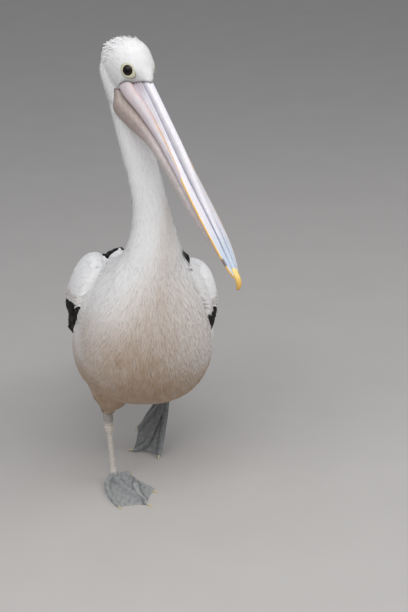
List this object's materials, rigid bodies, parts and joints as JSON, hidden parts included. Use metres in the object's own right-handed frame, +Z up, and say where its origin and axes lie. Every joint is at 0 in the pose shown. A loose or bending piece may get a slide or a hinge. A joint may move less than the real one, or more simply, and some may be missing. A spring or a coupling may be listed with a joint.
{
  "type": "Australian pelican, life-size museum model, walking",
  "caption": "Life-size still Australian pelican, walking with its right foot planted, head turned and long bill pointing down to its left.",
  "frame": {"origin": "middle of the whole bird's floor area, on the floor", "axes": "+Z up, the bird faces -Y, +X to the bird's own left"},
  "size_m": [0.27, 0.8268, 0.8755],
  "materials": {
    "plumage": "matt feathers",
    "dark_feathers": "matt black-brown feathers",
    "bill": "satin horn",
    "nail": "satin horn",
    "pouch": "bare skin",
    "eye": "wet",
    "eye_skin": "bare skin",
    "leg": "scaled skin",
    "claw": "horn"
  },
  "bodies": {
    "root": {"head": "plumage", "neck_upper": "plumage", "neck_lower": "plumage", "trunk": "plumage", "rump": "plumage", "tail": "dark_feathers", "bill_upper": "bill", "mandible": "bill", "bill_nail": "nail", "pouch": "pouch", "eye_left": "eye", "eye_ring_left": "eye_skin", "wing_left": "plumage", "scapulars_left": "dark_feathers", "flight_left": "dark_feathers", "thigh_left": "plumage", "shank_left": "leg", "foot_left": "leg", "claw_I_left": "claw", "claw_II_left": "claw", "claw_III_left": "claw", "claw_IV_left": "claw", "eye_right": "eye", "eye_ring_right": "eye_skin", "wing_right": "plumage", "scapulars_right": "dark_feathers", "flight_right": "dark_feathers", "thigh_right": "plumage", "shank_right": "leg", "foot_right": "leg", "claw_I_right": "claw", "claw_II_right": "claw", "claw_III_right": "claw", "claw_IV_right": "claw"}
  },
  "joints": []
}
